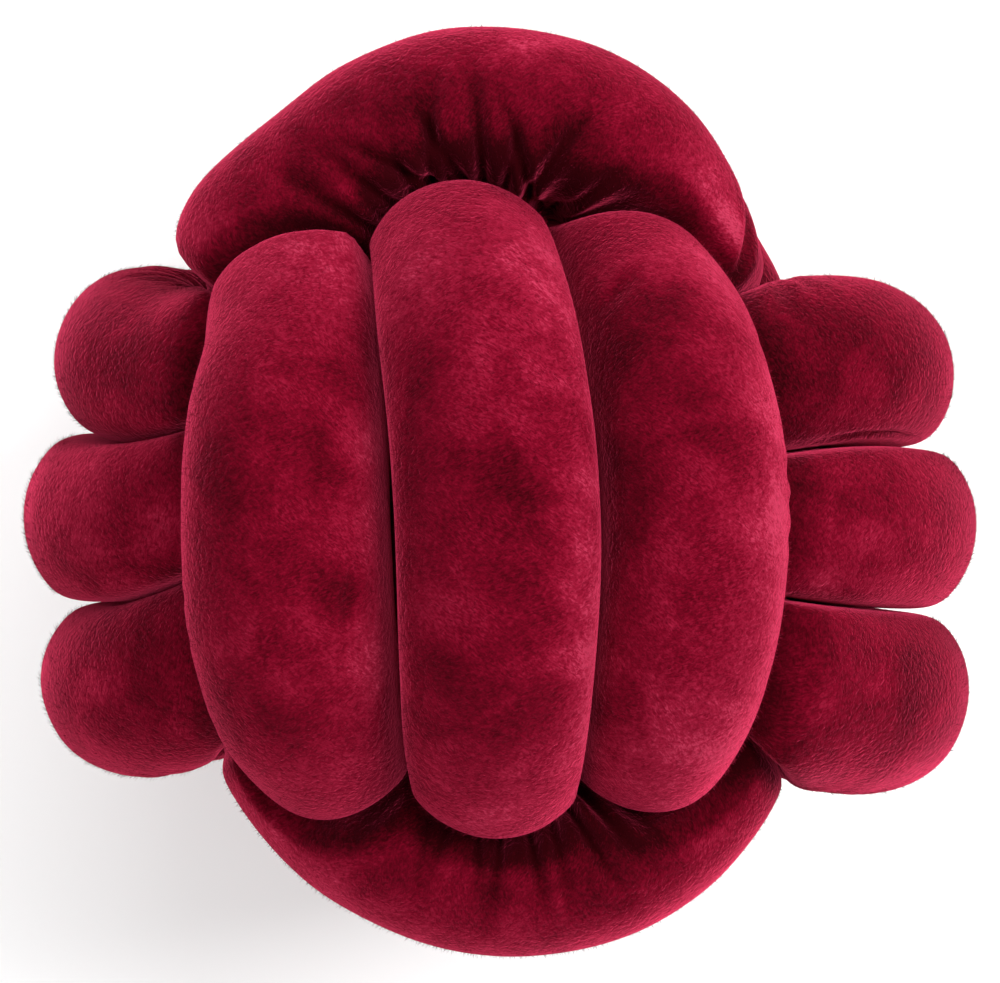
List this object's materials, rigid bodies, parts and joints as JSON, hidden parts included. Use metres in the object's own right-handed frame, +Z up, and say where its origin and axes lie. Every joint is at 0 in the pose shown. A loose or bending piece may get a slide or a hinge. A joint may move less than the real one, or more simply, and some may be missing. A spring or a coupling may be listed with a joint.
{
  "type": "knot cushion",
  "caption": "Soft knot cushion: a stuffed plush tube wound and tucked into a ball of crossing turns, to sit on a sofa, bed or chair or to hold.",
  "frame": {"origin": "on the surface that the cushion lies on, under the middle of its bounding box", "axes": "+Z up, out of the face that shows; +Y along that face's three outer turns, towards their upper end; +X across them, to their right"},
  "size_m": [0.2822, 0.2664, 0.2553],
  "materials": {
    "plush": "deep crimson short-pile plush, matt, with a soft sheen at grazing angles and blotches where the pile leans another way"
  },
  "bodies": {
    "root": {"knotted_tube": "plush"}
  },
  "joints": []
}
